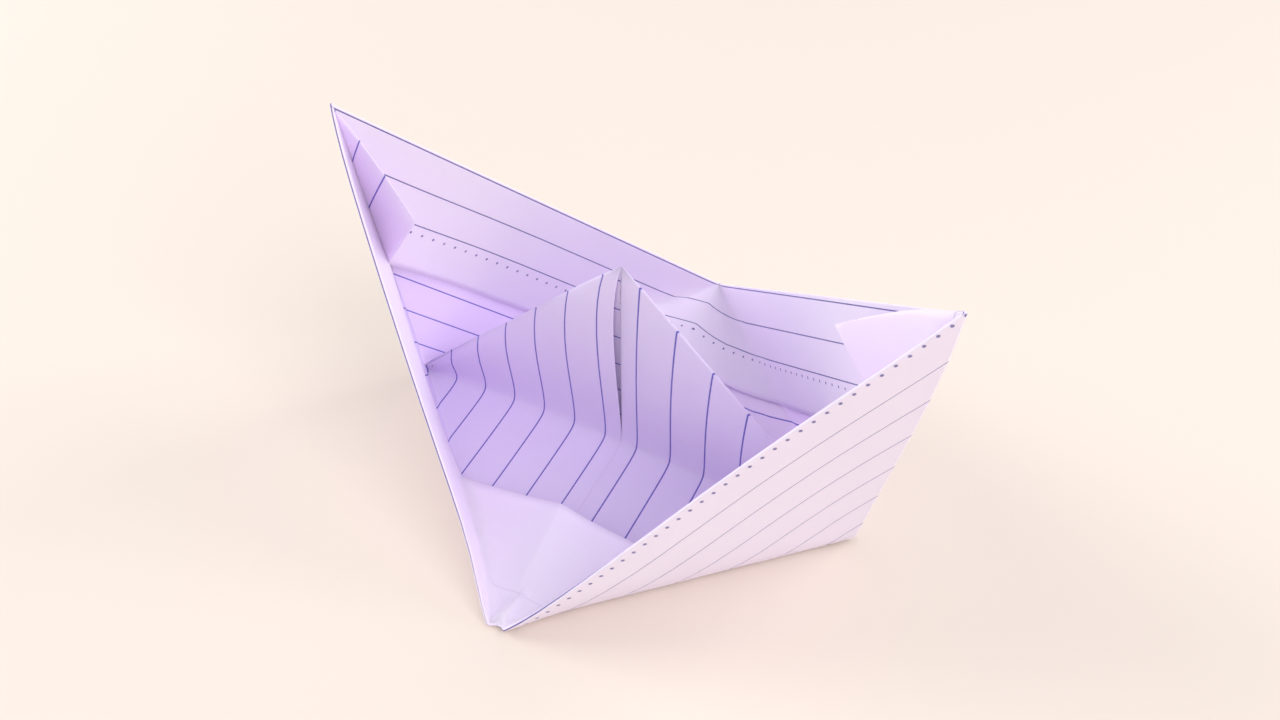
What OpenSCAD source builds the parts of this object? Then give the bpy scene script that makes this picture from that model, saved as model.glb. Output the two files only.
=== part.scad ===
// Paper boat folded from one page of an exercise book.
// The near side is spread flat on the ground and the far side stays turned up.
// X runs along the keel from bow to stern, -Y is the near side and Z is up.

/* [Page] */
// Width of the page, along its half fold
page_w = 190; // [140:1:300]
// Depth of the brim that is left below the folded corners
brim = 24.5; // [10:0.5:30]
// Thickness of the paper
paper = 0.1; // [0.06:0.01:0.2]

/* [Folded form] */
// Angle at which the far floor rises from the ground
far_rise = 11; // [2:0.5:25]
// Lean of the peak towards the near side
peak_lean = 2.5; // [0:0.5:10]
// Spread of the peak's far side at the keel
peak_spread = 4; // [2:0.5:12]
// Distance by which the stern tip is pulled further out than the bow tip
stern_pull = 2; // [0:0.5:8]
// Half the width of the folds along the peak's edges
peak_fold = 0.4; // [0.3:0.05:1]
// Diameter of the soft folds along the rim
rim_fold = 1; // [0.6:0.1:2]

/* [Bows and lifts] */
// Outward bow of the near wall's rim at the stern
stern_bow = 1.3; // [0:0.1:4]
// Outward bow of the near wall's rim at the bow
bow_bow = 0.3; // [0:0.1:4]
// Half the distance between the two small points in the middle of the near rim
point_spread = 1.5; // [0.5:0.1:4]
// Depth of the notch between those two points
point_notch = 0.8; // [0.2:0.1:2]
// Lift of each brim's free edge off the wall behind it
brim_lift = 1.6; // [0.4:0.1:3]
// Further rise of the near brim's free edge in the middle of the floor
brim_arch = 4; // [0:0.5:6]
// Width of the slit between the two flaps, halfway up the peak
slit = 1.2; // [0.4:0.1:3]
// Lift of the flaps along the slit, halfway up the peak
flap_lift = 0.8; // [0.2:0.1:3]
// Angle at which the loose brim corner stands off the far wall at the bow
loose_corner = 62; // [10:1:80]
// Angle at which the brim corner wrapped round the stern stands off the far wall
wrapped_corner = 31; // [10:1:60]

/* [Hidden] */

// Steps of the skin: round half a side, up the peak, across floor and wall, and over rim and brim
ray_steps = 8;
peak_steps = 4;
floor_steps = 3;
wall_steps = 4;
fold_steps = 4;
brim_steps = 3;
// Points of the skin closer than this are one point
least_step = 0.0001;

function unit(v) = v / norm(v);
function normal(a, b, c) = unit(cross(b - a, c - a));
function along(p, q, share) = p + share * (q - p);
function mirrored(p) = [-p.x, p.y, p.z];
// Step that moves away by one from both of two panels, or from all of three
function inward(n, m) = (n + m) / (1 + n * m);
function inward3(a, b, c) = (cross(a, b) + cross(b, c) + cross(c, a)) / (a * cross(b, c));

// The near side is three plies thick: the page's body and two layers of corner flap.
near_stack = 3 * paper;
// A quarter of the page: half the keel, the height of the peak and the depth of each floor
quarter = page_w / 4;
rim_depth = 2 * quarter;
rim_r = rim_fold / 2;
up = [0, 0, 1];
far_slope = [0, cos(far_rise), sin(far_rise)];
stem = quarter * sqrt(2);
stem_lean = [sin(far_rise), -sin(far_rise), 1 + cos(far_rise)];

// Corners of the folded page, end being -1 at the bow and 1 at the stern
function side_y(side) = side == "near" ? -peak_fold : side == "far" ? peak_fold : 0;
function edge_only(side) = side == "edge" ? peak_fold : 0;
function top(side) = quarter * [0, -sin(peak_lean), cos(peak_lean)] + [0, side_y(side), edge_only(side)];
function foot(side, end) = [end * (quarter + edge_only(side)), side_y(side), 0];
function keel(side) = side == "far" ? peak_spread * far_slope : [0, side_y(side), 0];
function middle(side) = quarter * (side == "far" ? far_slope : [0, -1, 0]);
function stern_tip(pull) = [quarter, 0, 0] + stem * unit(stem_lean + norm(stem_lean) * [pull / stem, 0, 0]);
function tip(end) = end < 0 ? mirrored(stern_tip(0)) : stern_tip(stern_pull);

// Normals of the panels, pointing into the boat
function turn(side, end) = side == "near" ? end : -end;
function wall_in(side, end) =
    turn(side, end) * normal(foot(side, end), middle(side), tip(end));
function floor_in(side, end) =
    turn(side, end) * normal(foot(side, end), keel(side), middle(side));
function peak_in(side, end) =
    turn(side, end) * normal(foot(side, end), top(side), keel(side));
function stem_in(end) = inward(wall_in("near", end), wall_in("far", end));

// Rows and zones of the skin: a row runs from the apex down a ray of the flat page, through
// the zones top, peak, keel, floor, crease and wall. Its side is near, far, or the edge between them.
function above_keel(zone) = zone == "top" || zone == "peak";
function mid_peak_in(side) = inward(peak_in(side, 1), peak_in(side, -1));
function seam_step_in(side, zone) =
    above_keel(zone) ? mid_peak_in(side)
    : zone == "keel" ? inward(mid_peak_in(side), floor_in(side, 1))
    : zone == "floor" ? floor_in(side, 1)
    : inward3(floor_in(side, 1), wall_in(side, 1), wall_in(side, -1));
function stem_step_in(side, end, zone) =
    zone == "wall" ? stem_in(end)
    : side == "edge" ? (zone == "peak" ? unit([end, 0, 1]) : up)
    : zone == "top" ? mid_peak_in(side)
    : zone == "peak" ? peak_in(side, end)
    : side == "far" ? up
    : inward3(floor_in(side, end), peak_in(side, end), wall_in(side, end));
function panel_step_in(side, end, zone) =
    zone == "top" ? mid_peak_in(side)
    : zone == "peak" ? peak_in(side, end)
    : zone == "keel" ? inward(peak_in(side, end), floor_in(side, end))
    : zone == "floor" ? floor_in(side, end)
    : zone == "crease" ? inward(floor_in(side, end), wall_in(side, end))
    : wall_in(side, end);
function step_in(side, end, share, zone) =
    share == 0 ? seam_step_in(side, zone)
    : share == 1 ? stem_step_in(side, end, zone)
    : panel_step_in(side, end, zone);

// Bow of a near wall: a cone about its foot that is widest at bow_peak of the way from the stem
// to the floor crease, with nothing at either
bow_peak = 0.75;
bow_power = bow_peak / (1 - bow_peak);
function wall_bow(side, end) = side == "far" ? 0 : end > 0 ? stern_bow : bow_bow;
function bow_shape(share) =
    share == 0 ? 0 : pow(share / bow_peak, bow_power) * (1 - share) / (1 - bow_peak);
function cone(a, b) = a + b == 0 ? 0 : (a + b) * bow_shape(b / (a + b));

// The near rim's middle is two small points with a notch between them, made by the row's first points.
point_length = brim / 2;
function near_rim(d) = pow(max(0, 1 - (rim_depth - d) / point_length), 2);
function point_shift(side, end, share, in_slit, d) =
    side != "near" || share > 0 ? [0, 0, 0]
    : near_rim(d) * (in_slit ? [0, point_notch, 0] : [end * point_spread, 0, 0]);

// Middle of the paper at a distance across and a depth below the apex on the flat page
function on_peak(side, end, x, d) =
    top(side) + x / quarter * (foot(side, end) - keel(side)) + d / quarter * (keel(side) - top(side));
function on_floor(side, end, x, d) =
    keel(side) + x / quarter * (foot(side, end) - keel(side))
    + (d / quarter - 1) * (middle(side) - keel(side));
function on_wall(side, end, x, d) =
    let (
        to_tip = (d + x) / rim_depth - 1,
        to_middle = (d - x) / rim_depth,
        flat = foot(side, end) + to_tip * (tip(end) - foot(side, end))
            + to_middle * (middle(side) - foot(side, end)),
        out = wall_bow(side, end) * cone(to_tip, to_middle)
    )
    flat - out * wall_in(side, end);
function on_page(side, end, x, d) =
    d <= quarter ? on_peak(side, end, x, d)
    : x + d <= rim_depth ? on_floor(side, end, x, d)
    : on_wall(side, end, x, d);

// The slit between the flaps, and how far they lift beside it
function arch(share) = 4 * share * (1 - share);
function slit_half(side, d) = side == "near" && d < quarter ? slit / 2 * arch(d / quarter) : 0;
function across(side, share, d) = slit_half(side, d) + share * (d - slit_half(side, d));
function lift(side, share, d) =
    side == "near" && d < quarter ? flap_lift * arch(d / quarter) * pow(1 - share, 2) : 0;

// Depths of a row's points, each with its zone
function crease_depth(share) = rim_depth / (1 + share);
function row_steps(share) = concat(
    [for (i = [0 : peak_steps - 1]) [quarter * i / peak_steps, i == 0 ? "top" : "peak"]],
    [[quarter, "keel"]],
    [for (i = [1 : floor_steps])
        [quarter + (crease_depth(share) - quarter) * i / floor_steps,
         i == floor_steps ? "crease" : "floor"]],
    [for (i = [1 : wall_steps])
        [crease_depth(share) + (rim_depth - crease_depth(share)) * i / wall_steps, "wall"]]);
function brim_row_steps(share) =
    let (
        free = rim_depth - brim,
        bend = max(crease_depth(share), free),
        bend_zone = crease_depth(share) > free ? "crease" : "wall"
    )
    concat(
        [for (i = [1 : brim_steps])
            [rim_depth + (bend - rim_depth) * i / brim_steps, i == brim_steps ? bend_zone : "wall"]],
        [for (i = [1 : brim_steps])
            [bend + (free - bend) * i / brim_steps, bend > free ? "floor" : "wall"]]);

// Depth of the hull's outside and of its inside, from the middle of the paper
function half_stack(side, share, zone) =
    side == "far" && (share < 1 || above_keel(zone)) ? paper / 2 : near_stack / 2;
function inside_depth(side, share, in_slit, zone) =
    in_slit && above_keel(zone) ? paper - near_stack / 2 : half_stack(side, share, zone);

// Middle of a brim, which follows its wall and floor at a growing distance
function brim_depth(side, share, x, d) =
    let (
        half = half_stack(side, share, "wall"),
        at_rim = rim_fold - half - paper / 2,
        at_free = half + brim_lift,
        reach = (rim_depth - d) / brim,
        floor_share = d < rim_depth ? max(0, 1 - x / (rim_depth - d)) : 0,
        rise = side == "near" ? brim_arch * reach * floor_share : 0
    )
    at_rim + (at_free - at_rim) * reach + rise - (side == "edge" ? paper * min(1, brim_steps * reach) : 0);

// One row of the skin: hull outside, rim fold, brim inside and back, hull inside
function row(side, end, share, in_slit = false) =
    let (
        steps = row_steps(share),
        brim_row = brim_row_steps(share),
        skin = function (s, depth)
            let (
                x = across(side, share, s[0]),
                m = step_in(side, end, share, s[1]),
                flap = in_slit ? 0 : lift(side, share, s[0])
            )
            on_page(side, end, x, s[0]) + point_shift(side, end, share, in_slit, s[0]) + m * (depth + flap),
        outside = [for (s = steps) skin(s, -half_stack(side, share, s[1]))],
        inside = [for (s = steps) skin(s, inside_depth(side, share, in_slit, s[1]))],
        rim = on_page(side, end, share * rim_depth, rim_depth)
            + point_shift(side, end, share, in_slit, rim_depth),
        rim_in = step_in(side, end, share, "wall"),
        rim_out = share == 0 ? unit(middle(side) - keel(side))
            : share == 1 ? unit(tip(end) - [end * quarter, 0, 0])
            : unit(along(tip(end), middle(side), 0.5) - foot(side, end)),
        centre = rim + rim_in * (rim_r - half_stack(side, share, "wall")),
        fold = [for (i = [1 : fold_steps])
            let (angle = 180 * i / fold_steps)
            centre + rim_r * (sin(angle) * rim_out - cos(angle) * rim_in)],
        brim_skin = function (s, depth)
            skin(s, brim_depth(side, share, share * s[0], s[0]) + depth),
        shown = [for (s = brim_row) brim_skin(s, paper / 2)],
        hidden = [for (s = concat([[rim_depth, "wall"]], brim_row)) brim_skin(s, -paper / 2)]
    )
    concat(outside, fold, shown, reversed(hidden), reversed(inside));
function reversed(list) = [for (i = [len(list) - 1 : -1 : 0]) list[i]];

// A brim's end triangle: the row at the stem with the shown side of its brim drawn out to a corner
first_shown = peak_steps + floor_steps + wall_steps + fold_steps + 1;
last_shown = first_shown + 2 * brim_steps - 1;
function corner_rows(base, end, angle, first_side) =
    let (
        hinge_start = base[first_shown - 1],
        hinge_end = base[last_shown],
        outward = unit(middle("far") - foot("far", end)),
        reach = brim / sqrt(2),
        corner = along(hinge_start, hinge_end, 0.5)
            + reach * (cos(angle) * outward + sin(angle) * wall_in("far", end)),
        off_wall = end * normal(hinge_start, corner, hinge_end) * paper / 2
    )
    [for (side = [first_side, -first_side])
        [for (i = [0 : len(base) - 1])
            i >= first_shown && i <= last_shown ? corner + side * off_wall : base[i]]];

module paper_boat() {
    shares = [for (i = [0 : ray_steps]) i / ray_steps];
    near_stern = row("near", 1, 1);
    far_bow = row("far", -1, 1);
    rows = concat(
        [for (share = reversed(shares)) row("near", -1, share)],
        [row("near", -1, 0, true), row("near", 1, 0, true)],
        [for (share = shares) row("near", 1, share)],
        corner_rows(near_stern, 1, wrapped_corner, 1),
        [row("edge", 1, 1)],
        [for (share = reversed(shares)) row("far", 1, share)],
        [for (share = shares) row("far", -1, share)],
        corner_rows(far_bow, -1, loose_corner, -1),
        [row("edge", -1, 1)]);
    width = len(rows[0]);
    points = [for (r = rows) each r];
    quads = [for (i = [0 : len(rows) - 1], j = [0 : width - 2])
        let (next = (i + 1) % len(rows) * width)
        [i * width + j, next + j, next + j + 1, i * width + j + 1]];
    halves = [for (q = quads) each [[q[0], q[1], q[2]], [q[0], q[2], q[3]]]];
    apart = function (a, b) norm(points[a] - points[b]) > least_step;
    faces = [for (f = halves) if (apart(f[0], f[1]) && apart(f[1], f[2]) && apart(f[2], f[0])) f];
    centre = [(tip(1).x + tip(-1).x) / 2, (middle("near").y + middle("far").y) / 2, -near_stack / 2];
    color("lavender")
        translate(-centre)
            polyhedron(points, faces);
}

paper_boat();
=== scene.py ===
"""Looks of a paper boat folded from one ruled page."""

import math

import bmesh
import bpy
import numpy as np
from mathutils import Matrix, Vector


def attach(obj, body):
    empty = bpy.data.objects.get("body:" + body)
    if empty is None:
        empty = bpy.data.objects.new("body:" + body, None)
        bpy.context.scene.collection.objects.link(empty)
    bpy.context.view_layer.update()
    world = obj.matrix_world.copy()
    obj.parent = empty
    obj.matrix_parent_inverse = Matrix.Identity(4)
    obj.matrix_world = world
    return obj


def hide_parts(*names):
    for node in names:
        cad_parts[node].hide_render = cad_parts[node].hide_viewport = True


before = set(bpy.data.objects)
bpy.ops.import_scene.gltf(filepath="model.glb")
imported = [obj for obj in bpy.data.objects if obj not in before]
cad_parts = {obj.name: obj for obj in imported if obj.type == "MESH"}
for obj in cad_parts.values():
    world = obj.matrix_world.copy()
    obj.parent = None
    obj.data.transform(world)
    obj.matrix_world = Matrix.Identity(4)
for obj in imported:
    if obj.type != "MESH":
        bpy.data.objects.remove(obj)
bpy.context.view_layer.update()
scene = bpy.context.scene
scene.view_settings.view_transform = "Standard"

# The page is a leaf of a ruled exercise book, thin white paper with a lilac cast, lined on both sides. Its
# body makes both sides of the boat, its corners two double flaps inside the near side, and what is left over
# at its two ends the brims turned in over the rim. Folds alone hold it. Lengths here are in millimetres.

# Quarter of the page's width, depth of the rim below the peak and depth of the brim, all on the flat page
quarter = 47.5
rim_depth = 2 * quarter
brim = 24.5
# Thickness of the paper, and distance between plies that lie on each other
paper = 0.1
ply = 0.12

# Corners of the open boat, and for each side the middle of its keel and of its rim
bow_tip = np.array([-55.0, -6.6, 66.3])
stern_tip = np.array([55.7, -6.5, 65.2])
bow_foot = np.array([-48.5, 0.5, 0.3])
stern_foot = np.array([47.3, 0.4, 0.2])
peak = np.array([-1.4, -1.6, 47.9])
keels = {"near": np.array([-1.8, 1.1, 0.6]), "far": np.array([-1.2, 4.4, 1.6])}
middles = {"near": np.array([-0.9, -46.7, 0.2]), "far": np.array([-0.8, 45.6, 9.4])}


def ramp(t, radius):
    """Zero before a crease and t after it, with a curve of about that radius between them."""
    return 0.5 * (t + np.sqrt(t * t + radius * radius))


def hump(t):
    """Rises from 0 to 1 at half way, and falls to 0 again."""
    return 4 * t * (1 - t)


def bell(t):
    """Is 1 in the middle, and fades out on both sides."""
    return np.exp(-(t**2))


def panels(side, x, d, keel_soft, crease_soft):
    """Place of the page's points: x across the boat and d down from the peak, measured on the flat page."""
    at_bow = x < 0
    foot = np.where(at_bow[:, None], bow_foot, stern_foot)
    tip = np.where(at_bow[:, None], bow_tip, stern_tip)
    keel, middle = keels[side], middles[side]
    a = np.abs(x)

    # Flat panels with soft bends at the seam, the keel and the floor's creases
    seam_soft = 0.6
    rounded = x * x / np.sqrt(x * x + seam_soft**2)
    across = np.stack([a, rounded, rounded], axis=1) / quarter
    rise = (peak + middle - 2 * keel) / quarter
    turn = (tip - middle - 2 * foot + 2 * keel) / rim_depth
    p = keel + across * (foot - keel) + (d / quarter - 1)[:, None] * (middle - keel)
    p = p + ramp(quarter - d, keel_soft)[:, None] * rise
    sideways = np.array([1, 0, 0]) * np.exp(-a / crease_soft)[:, None]
    p = p + ramp(a + d - rim_depth, crease_soft)[:, None] * turn * (1 - sideways)

    # Ridge of the peak on the bow's side, which stands up a little
    ridge_depths = [0, 8, 20, 36, 43, 47.5, 52]
    ridge_rises = [0, 0.7, 0.8, 1.0, 1.3, 0.8, 0]
    ridge_way = np.array([0, -0.9, 1.2])
    ridge_foot = 4
    below = np.clip((d - a) / np.maximum(quarter - a, ridge_foot), 0, 1)
    ridge_rise = np.interp(d, ridge_depths, ridge_rises) * (1 - below) ** 2
    p = p + np.where(at_bow, ridge_rise, 0)[:, None] * ridge_way

    # Stem of the stern, which bows out between its foot and its tip
    to_tip = np.clip((d + a) / rim_depth - 1, 1e-6, None)
    to_middle = np.clip((d - a) / rim_depth, 1e-6, None)
    from_foot = to_tip + to_middle
    share = to_middle / from_foot
    stem_bow = 0.85
    stem_to_one = 6.75
    up_stem = np.clip(to_tip, 0, 1)
    stem_curve = stem_to_one * up_stem**2 * (1 - up_stem) * (1 - share) ** 4
    p[:, 0] += np.where(x > 0, stem_bow * stem_curve, 0)

    if side == "near":
        # Walls that bow outward, the bow's close to its tip too
        bow_bulge = 4.4
        tip_bulge = 0.4
        tip_share = 0.12
        stern_bulge = 1.8
        stern_to_one = 12.2
        out = np.cross(middle - foot, tip - foot) * np.where(at_bow, 1, -1)[:, None]
        out = out / np.linalg.norm(out, axis=1)[:, None]
        by_tip = (share / tip_share) * np.exp(1 - share / tip_share)
        bow_wall = bow_bulge * share * (1 - share) + tip_bulge * by_tip
        stern_wall = stern_bulge * stern_to_one * share**4 * (1 - share)
        p = p + (from_foot * np.where(at_bow, bow_wall, stern_wall))[:, None] * out

        # Keel of the bow, which lifts off the ground
        keel_lift = 0.7
        keel_width = 16
        along_keel = np.sin(np.pi * np.clip(-x / quarter, 0, 1))
        p[:, 2] += keel_lift * along_keel * bell((d - quarter) / keel_width)

        # Two small points in the middle of the rim, with a notch between them
        points_width = 12
        points_apart = np.where(at_bow, 1.3, 0.5)
        apart_depth = 7
        points_out = np.where(at_bow, 1.4, 0.9)
        out_depth = 4
        notch_width = 0.5
        notch_soft = 0.4
        notch_out = 0.1
        at_rim = rim_depth - d
        by_middle = bell(x / points_width)
        notch = bell(x / notch_width)
        p[:, 0] += points_apart * np.tanh(x / notch_soft) * bell(at_rim / apart_depth) * by_middle
        outward = points_out * (1 - notch) * by_middle + notch_out * notch
        p[:, 1] -= outward * bell(at_rim / out_depth)
    else:
        # Floor that sags on the stern's side
        sag = 0.1
        sag_reach = 20
        facet = np.maximum(rim_depth - d, 1e-3)
        inside = np.clip(x / facet, 0, 1)
        p[:, 2] -= sag * facet * hump(inside) * np.clip((d - quarter) / sag_reach, 0, 1)
    return p


def facing(side, x, d, keel_soft, crease_soft):
    """Directions at the page's points: into the boat, and down the page."""
    step = 0.05

    def at(x, d):
        return panels(side, x, d, keel_soft, crease_soft)

    px = at(x + step, d) - at(x - step, d)
    pd = at(x, d + step) - at(x, d - step)
    n = np.cross(px, pd) * (-1 if side == "near" else 1)
    return n / np.linalg.norm(n, axis=1)[:, None], pd / np.linalg.norm(pd, axis=1)[:, None]


def laid(side, x, d, depth, keel_soft, crease_soft):
    """The page's points at a depth inside the boat's middle surface."""
    n, _ = facing(side, x, d, keel_soft, crease_soft)
    return panels(side, x, d, keel_soft, crease_soft) + n * depth[:, None]


def eased(count):
    """Shares from 0 to 1 that lie closer together at both ends."""
    return 0.5 - 0.5 * np.cos(np.pi * np.linspace(0, 1, count))


def row_depths(share):
    """Depths along a row, with points close together at the keel, at the floor's crease and at the rim."""
    crease = rim_depth / (1 + share)
    on_peak = quarter * eased(18)
    on_floor = quarter + (crease - quarter) * eased(16)[1:]
    on_wall = crease + (rim_depth - crease) * eased(16)[1:]
    return np.concatenate([on_peak, on_floor, on_wall])


# Radii of the bends at the keel and at the floor's creases
soft_keel = {"near": 2.6, "far": 1.0}
soft_crease = {"near": 0.8, "far": 0.8}
# Length below the peak over which the plies part
peak_taper = 4


def slit_gap(bow, d):
    """Distance of a flap's edge from the boat's middle: the bow's flap draws back from the stern's."""
    t = np.clip(d / quarter, 0, 1)
    shut = 0.03 + 0.07 * np.sin(np.pi * t)
    slit_width = 1.1 if bow else 0
    return shut + slit_width * np.sin(np.pi * t**0.55) ** 1.5


def body_row(side, share, depth):
    """A row of the page's body, and its points on the flat page."""
    d = row_depths(abs(share))
    x = share * d
    level = depth * np.clip(d / peak_taper, 0, 1)
    p = laid(side, x, d, level, soft_keel[side], soft_crease[side])
    return p, np.stack([x, d if side == "far" else -d], axis=1)


def flap_row(share, bow, back, depth):
    """A row of a corner flap, of its front or back layer, and its points on the flat page."""
    d = row_depths(share)
    gap = slit_gap(bow, d)
    a = gap + share * (d - gap)
    sign = -1 if bow else 1
    t = np.clip(d / quarter, 0, 1)
    below = np.clip((d - a) / np.maximum(quarter - a, 1e-3), 0, 1)
    if bow:
        edge_lift = 1.0
        swell = 1.35 * np.sin(np.pi * below**0.6) * (1 - below**2) * np.clip(a / 8, 0, 1)
    else:
        edge_lift = 0.5
        swell = 1.3 * np.sin(np.pi * below**0.8) * np.clip(a / 5, 0, 1)
    lift = edge_lift * hump(t) * (1 - share) ** 2 + swell
    foot_taper = 5
    level = depth * np.clip(d / peak_taper, 0, 1) + lift * np.clip((quarter - a) / foot_taper, 0, 1)
    p = laid("near", sign * a, d, level, soft_keel["near"], soft_crease["near"])
    y = share * d
    return p, np.stack([sign * d, y if back else -y], axis=1)


# Rows from the seam, where the share is 0, to the stem, where it is 1, with more of them close to both
by_seam = [0.0015, 0.012, 0.018, 0.035]
by_stem = [0.9985]
shares = np.sort(np.concatenate([eased(21), by_seam, by_stem]))
both = np.concatenate([-shares[::-1], shares[1:]])
# Layers in the order in which the page runs: near body, stern's flap, far body and bow's flap
strips = [
    [body_row("near", s, -ply) for s in both],
    [flap_row(s, False, False, 0) for s in shares[::-1]],
    [flap_row(s, False, True, ply) for s in shares],
    [body_row("far", s, 2 * ply) for s in both[::-1]],
    [flap_row(s, True, True, ply) for s in shares[::-1]],
    [flap_row(s, True, False, 0) for s in shares],
]
# Each layer's last row becomes the fold to the next layer, pushed out by half the distance between the two
behind_fold = 5
far_folds = (2, 3)
own_place = (0, 1, 3, 4)
far_fold_taper = 4
for i, strip in enumerate(strips):
    following = strips[(i + 1) % len(strips)]
    here, there = strip[-1][0], following[0][0]
    behind = 0.5 * (strip[-1 - behind_fold][0] + following[behind_fold][0])
    out = 0.5 * (here + there) - behind
    out = out / np.maximum(np.linalg.norm(out, axis=1), 1e-6)[:, None]
    spread = 0.5 * np.linalg.norm(here - there, axis=1)
    if i in far_folds:
        spread = spread * np.clip((quarter - row_depths(1.0)) / far_fold_taper, 0, 1)
    fold = 0.5 * (here + there) + out * spread[:, None]
    uv = strip[-1][1] if i in own_place else following[0][1]
    strips[i] = strip[:-1] + [(fold, uv)]
rows = []
for strip in strips:
    rows += strip[1:]
starts = np.cumsum([0] + [len(strip) - 1 for strip in strips])
near_rows = [rows[-1]] + rows[: starts[1]]
far_rows = [rows[starts[3] - 1]] + rows[starts[3] : starts[4]]

points, flat, quads = [], [], []


def add_patch(patch, closed=False):
    """Adds rows of points as a patch of faces."""
    base = len(points)
    width = len(patch[0][0])
    for p, uv in patch:
        points.extend(p)
        flat.extend(uv)
    n = len(patch)
    for r in range(n if closed else n - 1):
        here = base + r * width
        there = base + (r + 1) % n * width
        for c in range(width - 1):
            quads.append((here + c, there + c, there + c + 1, here + c + 1))


add_patch(rows, closed=True)

# Brims, which start outside the plies that they are turned over
brim_start = {"near": 3 * ply, "far": 5 * ply}
brim_points = 18
rim_points = 8


def brim_bend(side, x, w):
    """Radius of a brim's bends over the floor's creases, w being 0 at the rim and 1 at the free edge."""
    tight = 1.2
    loose = 2.5
    wide = tight if side == "near" else np.interp(x, [-3, 6], [loose, tight])
    return soft_crease[side] + (wide - soft_crease[side]) * w


def brim_height(side, x, w):
    """How far a brim's free edge stands off the side behind it, above each of its points."""
    if side == "near":
        along = [-24.5, -20.9, -16.8, -9.2, -5.2, -1.3, 2.2, 4.8, 8.2, 13.8, 24.5]
        heights = [0.6, 1.5, 2.4, 3.7, 4.7, 5.7, 4.9, 4.2, 3.9, 3.5, 1.0]
        ray = np.clip(x / np.maximum(w, 1e-6), -brim, brim)
        return np.interp(ray, along, heights)
    return np.interp(x, [-72, -55, -20, 20, 70], [3.0, 1.2, 0.8, 0.8, 1.2])


def pleat(x, w):
    """Height of the small pleat that runs into the near brim from the middle of its rim."""
    height = 1.5
    length = 0.3
    lean = 2.4
    steep = 0.3
    off = x - lean * w
    gentle = 1 + off / np.maximum(1.5 - 4 * w, 0.6)
    across = np.where(off < 0, np.clip(gentle, 0, 1), np.exp(-off / steep))
    return height * across * np.sin(np.pi * np.clip(w / length, 0, 1)) ** 0.7


brim_ends = {}
stern_slack = 0.8
for side, body, shares_here in (("near", near_rows, both), ("far", far_rows, both[::-1])):
    sign = 1 if side == "far" else -1
    patch = []
    for (p_row, uv_row), s in zip(body, shares_here):
        w = np.linspace(0, 1, brim_points)
        d = rim_depth - brim * w
        x = s * d
        if side == "near":
            x = x - stern_slack * np.clip(10 * s - 9, 0, 1) * np.clip(8 * w, 0, 1)
        depth = brim_start[side] + (brim_height(side, x, w) - brim_start[side]) * w
        if side == "near":
            depth = depth + pleat(x, w)
        p = laid(side, x, d, depth, soft_keel[side], brim_bend(side, x, w))
        start, end = p_row[-1], p[0]
        _, along = facing(side, x[:1], d[:1], soft_keel[side], soft_crease[side])
        centre = 0.5 * (start + end)
        radius = 0.5 * np.linalg.norm(end - start)
        angles = np.linspace(0, np.pi, rim_points)[1:-1]
        rim = [centre + math.cos(a) * (start - centre) + math.sin(a) * radius * along[0] for a in angles]
        rim_uv = np.stack([np.full(len(angles), x[0]), sign * (rim_depth + radius * angles)], axis=1)
        uv = np.stack([x, sign * (rim_depth + np.pi * radius + brim * w)], axis=1)
        patch.append((np.concatenate([[start], rim, p]), np.concatenate([uv_row[-1:], rim_uv, uv])))
    add_patch(patch)
    at_stern, at_bow = (patch[-1], patch[0]) if side == "near" else (patch[0], patch[-1])
    brim_ends[side] = {1: at_stern, -1: at_bow}

corner_rows = 16


def brim_corner(side, end, wall, angle, curl, over, slide, arch, skew):
    """A brim's end triangle, turned about the stem off one of the walls, with its upper edge curled."""
    p, uv = brim_ends[side][end]
    p, uv = p[-brim_points:], uv[-brim_points:] - np.array([0, skew])
    foot = bow_foot if end < 0 else stern_foot
    tip = bow_tip if end < 0 else stern_tip
    e = middles[wall] - foot
    e = e / np.linalg.norm(e)
    n = np.cross(middles[wall] - foot, tip - foot)
    n = n / np.linalg.norm(n)
    n = n if n[0] * end < 0 else -n
    stem = (tip - foot) / np.linalg.norm(tip - foot)
    reach = brim / math.sqrt(2)
    rise = reach * math.sin(angle)
    corner = 0.5 * (p[0] + p[-1]) + reach * math.cos(angle) * e + rise * n + slide * stem
    corner_uv = np.array([end * rim_depth, (1 if side == "far" else -1) * (rim_depth + brim - skew)])
    from_edge = 1 - np.linspace(0, 1, len(p))
    power = 1 + (curl - 1) * from_edge
    patch = []
    for v in np.linspace(0, 1, corner_rows):
        raised = over * min(1, 6 * v) - rise * (v - v**power)
        arched = arch * math.sin(math.pi * v) * from_edge
        moved = p + (corner - p) * v + n * raised[:, None] + stem * arched[:, None]
        patch.append((moved, uv + (corner_uv - uv) * v))
    outward = (side == "near") == (end > 0)
    add_patch(patch if outward else patch[::-1])


def tucked_corner(side, end, depth):
    """A brim's end triangle, laid flat between the brim and the side that carries it."""
    p, uv = brim_ends[side][end]
    p, uv = p[-brim_points:], uv[-brim_points:]
    below_rim = 0.6
    hinge = rim_depth - brim * np.linspace(0, 1, len(p))
    corner_uv = np.array([end * rim_depth, (1 if side == "far" else -1) * (rim_depth + brim)])
    patch = []
    for v in np.linspace(0, 1, corner_rows):
        a = hinge + (rim_depth - brim - hinge) * v
        d = np.minimum(hinge + (rim_depth - hinge) * v, rim_depth - below_rim)
        q = laid(side, end * a, d, np.full(len(p), depth), soft_keel[side], soft_crease[side])
        patch.append((p + (q - p) * min(1, 5 * v), uv + (corner_uv - uv) * v))
    outward = (side == "near") == (end > 0)
    add_patch(patch if outward else patch[::-1])


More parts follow.
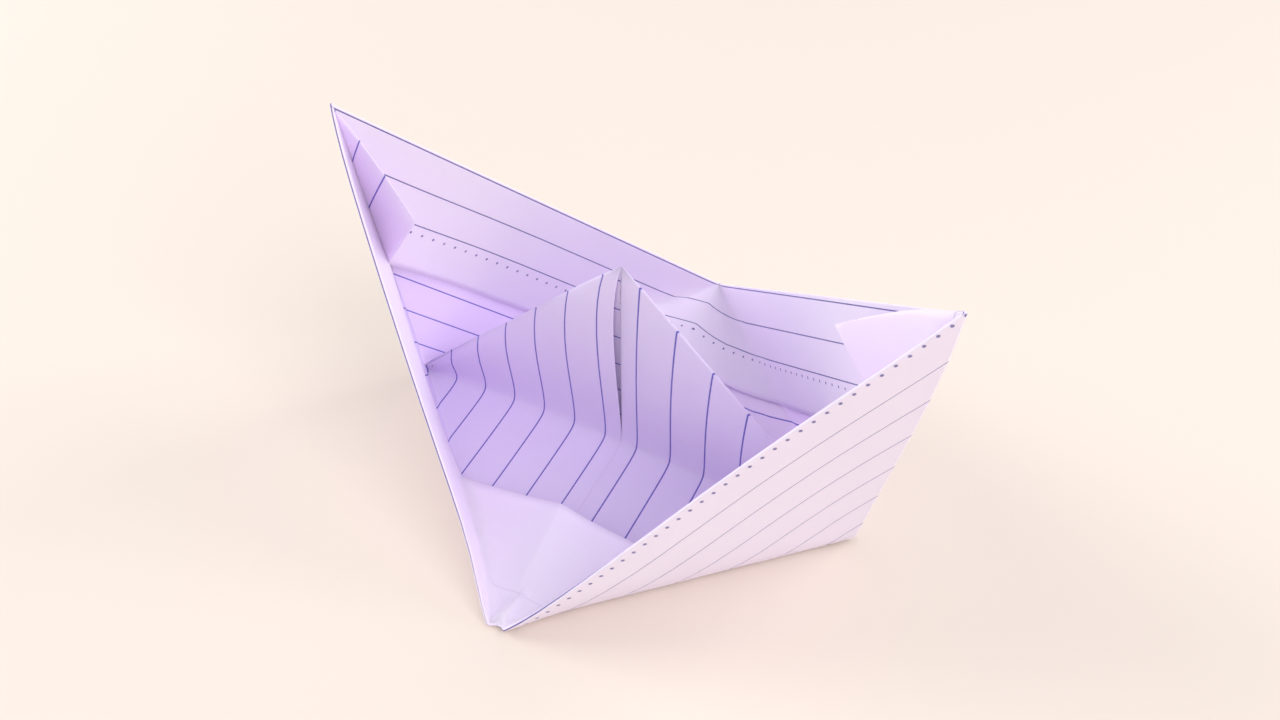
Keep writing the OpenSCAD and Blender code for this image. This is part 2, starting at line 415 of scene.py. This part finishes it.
# The far brim's corner stands loose at the bow, the near brim's is wrapped round the stern, two are tucked in
bow, stern = -1, 1
loose_angle = math.radians(62)
wrapped_angle = math.radians(24)
brim_corner("far", bow, "far", loose_angle, curl=1.4, over=0, slide=1.4, arch=0, skew=1.4)
brim_corner("near", stern, "far", wrapped_angle, curl=4, over=1.2, slide=-1.5, arch=1.2, skew=0)
tucked_corner("near", bow, 2 * ply)
tucked_corner("far", stern, 3.5 * ply)

mm = 0.001
mesh = bpy.data.meshes.new("folded_page")
mesh.from_pydata([tuple(mm * p) for p in points], [], quads)
layer = mesh.uv_layers.new(name="page_mm")
for loop in mesh.loops:
    layer.data[loop.index].uv = flat[loop.vertex_index]
page = bpy.data.objects.new("folded_page", mesh)
scene.collection.objects.link(page)

# Patches joined along their edges, with crisp folds in the body and soft ones in the brims
crisp = math.radians(38)
body_end = rim_depth + 0.1
bm = bmesh.new()
bm.from_mesh(mesh)
bmesh.ops.remove_doubles(bm, verts=bm.verts, dist=2e-6)
bmesh.ops.dissolve_degenerate(bm, edges=bm.edges, dist=1e-7)
for face in bm.faces:
    face.smooth = True
on_page = bm.loops.layers.uv["page_mm"]
for edge in bm.edges:
    in_body = all(abs(c[on_page].uv.y) < body_end for f in edge.link_faces for c in f.loops)
    if in_body and len(edge.link_faces) == 2:
        edge.smooth = edge.calc_face_angle() < crisp
bm.to_mesh(mesh)
bm.free()


def ruled(name, paper_and_shade_colour, ink, lines):
    """Writing paper with ruled lines; lines builds the mask of ink from the place on the page."""
    m = bpy.data.materials.new(name)
    m.use_nodes = True
    nt = m.node_tree
    shader = nt.nodes["Principled BSDF"]
    shader.inputs["Specular IOR Level"].default_value = 0.25
    shader.inputs["Subsurface Weight"].default_value = 0.5
    shader.inputs["Subsurface Radius"].default_value = (1.0, 0.9, 1.0)
    shader.inputs["Subsurface Scale"].default_value = 0.0004

    def math_node(op, a, b=None, c=None):
        n = nt.nodes.new("ShaderNodeMath")
        n.operation = op
        for i, v in enumerate((a, b, c)):
            if v is None:
                continue
            if isinstance(v, (int, float)):
                n.inputs[i].default_value = v
            else:
                nt.links.new(v, n.inputs[i])
        return n.outputs[0]

    def band(distance, half, soft):
        n = nt.nodes.new("ShaderNodeMapRange")
        n.interpolation_type = "SMOOTHSTEP"
        n.inputs["From Min"].default_value = half - soft
        n.inputs["From Max"].default_value = half + soft
        n.inputs["To Min"].default_value = 1
        n.inputs["To Max"].default_value = 0
        nt.links.new(distance, n.inputs["Value"])
        return n.outputs[0]

    def apart(a, b):
        return math_node("ABSOLUTE", math_node("SUBTRACT", a, b))

    def noise(scale, detail):
        n = nt.nodes.new("ShaderNodeTexNoise")
        n.inputs["Scale"].default_value = scale
        n.inputs["Detail"].default_value = detail
        nt.links.new(place.outputs[0], n.inputs["Vector"])
        return n.outputs[0]

    place = nt.nodes.new("ShaderNodeUVMap")
    place.uv_map = "page_mm"
    split = nt.nodes.new("ShaderNodeSeparateXYZ")
    nt.links.new(place.outputs[0], split.inputs[0])
    mask = lines(math_node, band, split.outputs[0], split.outputs[1])

    # Paler creases where the page was folded
    rim_fold = rim_depth + 0.4
    across = math_node("ABSOLUTE", split.outputs[0])
    down = math_node("ABSOLUTE", split.outputs[1])
    to_diagonal = apart(across, down)
    to_far_diagonal = apart(math_node("ADD", across, down), rim_depth)
    to_rim = apart(down, rim_fold)
    to_keel = apart(math_node("MAXIMUM", across, down), quarter)
    to_slanted = math_node("MINIMUM", to_diagonal, to_far_diagonal)
    to_straight = math_node("MINIMUM", to_rim, to_keel)
    creased = band(math_node("MINIMUM", to_slanted, to_straight), half=0.25, soft=0.2)

    # Fibres and a faint cloudiness in the paper
    fibre = noise(2.5, 8)
    cloud = noise(0.12, 3)
    mottle = math_node("ADD", math_node("MULTIPLY", fibre, 0.6), math_node("MULTIPLY", cloud, 0.6))
    mottle = math_node("MAXIMUM", mottle, creased)

    # Sockets of a colour mix: its two colours and its result
    first, second, mixed = 6, 7, 2
    darkest = 0.95
    tone = nt.nodes.new("ShaderNodeMix")
    tone.data_type = "RGBA"
    tone.inputs[first].default_value = (*[darkest * c for c in paper_and_shade_colour], 1)
    tone.inputs[second].default_value = (*paper_and_shade_colour, 1)
    nt.links.new(mottle, tone.inputs[0])
    inked = nt.nodes.new("ShaderNodeMix")
    inked.data_type = "RGBA"
    inked.inputs[second].default_value = (*ink, 1)
    faded = math_node("MULTIPLY", mask, math_node("MULTIPLY_ADD", fibre, -0.35, 1.12))
    nt.links.new(faded, inked.inputs[0])
    nt.links.new(tone.outputs[mixed], inked.inputs[first])
    nt.links.new(inked.outputs[mixed], shader.inputs["Base Color"])
    nt.links.new(math_node("MULTIPLY_ADD", mottle, 0.18, 0.62), shader.inputs["Roughness"])
    bump = nt.nodes.new("ShaderNodeBump")
    bump.inputs["Strength"].default_value = 0.25
    bump.inputs["Distance"].default_value = 0.0001
    nt.links.new(mottle, bump.inputs["Height"])
    nt.links.new(bump.outputs[0], shader.inputs["Normal"])
    return m


# Distance between ruled lines
pitch = 7.085


def front_lines(op, band, x, y):
    """Bold lines down to the last of them."""
    phase = 0.49
    last_line = 113
    strength = 0.92
    off = op("PINGPONG", op("SUBTRACT", op("DIVIDE", y, pitch), phase), 0.5)
    lines = band(op("MULTIPLY", off, pitch), half=0.145, soft=0.07)
    lines = op("MULTIPLY", lines, op("LESS_THAN", y, last_line))
    return op("MULTIPLY", lines, strength)


def back_lines(op, band, x, y):
    """Fine lines between two margins, with a dotted line at each margin and a plain one at the head."""

    def unit(value):
        return op("MINIMUM", op("MAXIMUM", value, 0.0), 1.0)

    # The print runs a little out of square with the folds, and otherwise on the near half, where the head is
    far_slope = -0.008
    near_slope = 0.0143
    by_head = op("LESS_THAN", y, 0.0)
    far_y = op("MULTIPLY_ADD", op("MAXIMUM", x, 0.0), far_slope, y)
    near_y = op("MULTIPLY_ADD", x, near_slope, y)

    # Its offsets on the far brim, towards the bow and the stern
    brim_from = 97.0
    bow_from = -45.0
    bow_slope = 0.012
    stern_shift = 0.4
    on_brim = unit(op("MULTIPLY", op("SUBTRACT", y, brim_from), 0.25))
    by_bow = op("MAXIMUM", op("SUBTRACT", bow_from, x), 0.0)
    far_y = op("SUBTRACT", far_y, op("MULTIPLY", op("MULTIPLY", by_bow, bow_slope), on_brim))
    by_stern = unit(op("MULTIPLY_ADD", x, 0.125, 0.25))
    line_y = op("SUBTRACT", far_y, op("MULTIPLY", op("MULTIPLY", by_stern, stern_shift), on_brim))

    # Its offset on the stern's side of the near half
    by_middle = unit(op("MULTIPLY", x, 0.1))
    near_shift = op("MULTIPLY_ADD", x, 0.0024, 0.8)
    near_shift = op("MULTIPLY", near_shift, op("MULTIPLY", by_middle, by_head))
    line_y = op("ADD", line_y, near_shift)

    # Ruled lines, a little thinner and paler on the near half
    first_line = -89.0
    last_line = 111
    phase = op("MULTIPLY_ADD", by_head, 0.215, 0.515)
    thinner = op("MULTIPLY_ADD", by_head, 0.3, 0.85)
    strength = op("MULTIPLY_ADD", by_head, -0.05, 1.0)
    off = op("PINGPONG", op("SUBTRACT", op("DIVIDE", line_y, pitch), phase), 0.5)
    lines = band(op("MULTIPLY", op("MULTIPLY", off, pitch), thinner), half=0.1, soft=0.06)
    ruled_part = op("MULTIPLY", op("GREATER_THAN", y, first_line), op("LESS_THAN", y, last_line))
    lines = op("MULTIPLY", op("MULTIPLY", lines, ruled_part), strength)

    # Head line, which is faint by the middle on the bow's side and ends on the stern's side
    bow_head_y = 95.3
    stern_head_y = 95.25
    head_end = 30
    bow_head = band(op("ABSOLUTE", op("ADD", y, bow_head_y)), half=0.1, soft=0.05)
    bow_head = op("MULTIPLY", bow_head, op("LESS_THAN", x, 0.0))
    bow_head = op("MULTIPLY", bow_head, op("MINIMUM", op("MULTIPLY_ADD", x, -0.025, 0.25), 0.9))
    stern_head = band(op("ABSOLUTE", op("ADD", near_y, stern_head_y)), half=0.1, soft=0.05)
    stern_head = op("MULTIPLY", stern_head, op("GREATER_THAN", x, 0.0))
    head = op("MULTIPLY", op("MAXIMUM", bow_head, stern_head), band(x, half=head_end, soft=8))

    # Margins of dots
    spacing = 2.5

    def dots(across, shift, width, height):
        along = op("PINGPONG", op("DIVIDE", op("ADD", x, shift), spacing), 0.5)
        a = op("POWER", op("DIVIDE", op("MULTIPLY", along, spacing), width), 2.0)
        b = op("POWER", op("DIVIDE", op("ABSOLUTE", across), height), 2.0)
        return band(op("ADD", a, b), half=1.0, soft=0.6)

    far_margin = 111.7
    near_margin = 93.4
    dot_strength = 0.9
    far_dots = dots(op("SUBTRACT", far_y, far_margin), shift=0.0, width=0.2, height=0.3)
    near_dots = dots(op("ADD", near_y, near_margin), shift=0.3, width=0.31, height=0.42)
    margins = op("MULTIPLY", op("MAXIMUM", far_dots, near_dots), dot_strength)

    # Painted shade of a faint short crease in the middle of the near brim: a faint dark line in the ink's
    # colour
    crease_y = 102.2
    crease_shade_strength = 0.12
    crease = band(op("ABSOLUTE", op("ADD", y, crease_y)), half=0.1, soft=0.1)
    crease = op("MULTIPLY", crease, band(op("ABSOLUTE", x), half=7, soft=3))
    printed = op("MAXIMUM", op("MAXIMUM", lines, head), margins)
    return op("MAXIMUM", printed, op("MULTIPLY", crease, crease_shade_strength))


# The front's colour is the page's pale lilac with painted shade in it. It is darker and more lilac than the
# back's, standing in for the shade inside the boat, where the front mostly shows.
front_paper = ruled("page_front", (0.83, 0.70, 0.99), (0.045, 0.035, 0.42), front_lines)
back_paper = ruled("page_back", (0.93, 0.81, 0.98), (0.07, 0.055, 0.27), back_lines)
mesh.materials.append(back_paper)
mesh.materials.append(front_paper)
thickness = page.modifiers.new("paper_thickness", "SOLIDIFY")
thickness.thickness = mm * paper
thickness.offset = 0
thickness.material_offset = 1
thickness.material_offset_rim = 1
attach(page, "root")
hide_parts("paper_boat")

# The floor is a plain pale sheet of board under the boat, wide enough to fill the view.
# It takes the boat's shadow and is no part of the boat.
bpy.ops.mesh.primitive_plane_add(size=6, location=(0, 0, 0))
floor = bpy.context.object
floor.name = "pale_floor"
floor_paint = bpy.data.materials.new("pale_floor")
floor_paint.use_nodes = True
floor_shader = floor_paint.node_tree.nodes["Principled BSDF"]
floor_shader.inputs["Base Color"].default_value = (0.77, 0.69, 0.58, 1)
floor_shader.inputs["Roughness"].default_value = 0.9
floor.data.materials.append(floor_paint)

# The light comes from wide soft lamps, one on the left, two on the right and one behind, and from an even
# surround. Each lamp points at the boat.
world = bpy.data.worlds.new("surround")
scene.world = world
world.use_nodes = True
surround = world.node_tree.nodes["Background"]
surround.inputs["Color"].default_value = (0.88, 0.89, 1.0, 1)
surround.inputs["Strength"].default_value = 0.76
lit_point = Vector((0, 0, 0.02))
for name, place, energy, tint in (
    ("left_lamp", (-0.8, -0.1, 0.4), 4.3, (1, 1, 1)),
    ("right_lamp", (0.5, -0.2, 0.75), 2.5, (0.98, 0.92, 1.0)),
    ("low_lamp", (0.8, -0.3, 0.3), 1.3, (1, 0.86, 0.8)),
    ("back_lamp", (0.6, 0.6, 0.6), 3.0, (1, 1, 1)),
):
    lamp = bpy.data.lights.new(name, "AREA")
    lamp.energy = energy
    lamp.color = tint
    lamp.size = 0.5
    holder = bpy.data.objects.new(name, lamp)
    holder.location = place
    holder.rotation_euler = (lit_point - Vector(place)).to_track_quat("-Z", "Y").to_euler()
    scene.collection.objects.link(holder)

# The camera stands in front of the near side, a little towards the stern, and looks down at the boat.
# Its focal length is given in pixels of a picture that is 1280 wide.
focal_pixels = 1133.05
picture_width = 1280
eye = bpy.data.cameras.new("camera")
eye.sensor_width = 36
eye.lens = eye.sensor_width * focal_pixels / picture_width
eye.clip_start = 0.01
camera = bpy.data.objects.new("camera", eye)
camera_place = Vector((0.06644, -0.13529, 0.16975))
right = Vector((0.8921, 0.4513, 0.0240))
upward = Vector((-0.3279, 0.6098, 0.7216))
backward = right.cross(upward)
turned = Matrix((right, upward, backward)).transposed().to_4x4()
camera.matrix_world = Matrix.Translation(camera_place) @ turned
scene.collection.objects.link(camera)
scene.camera = camera
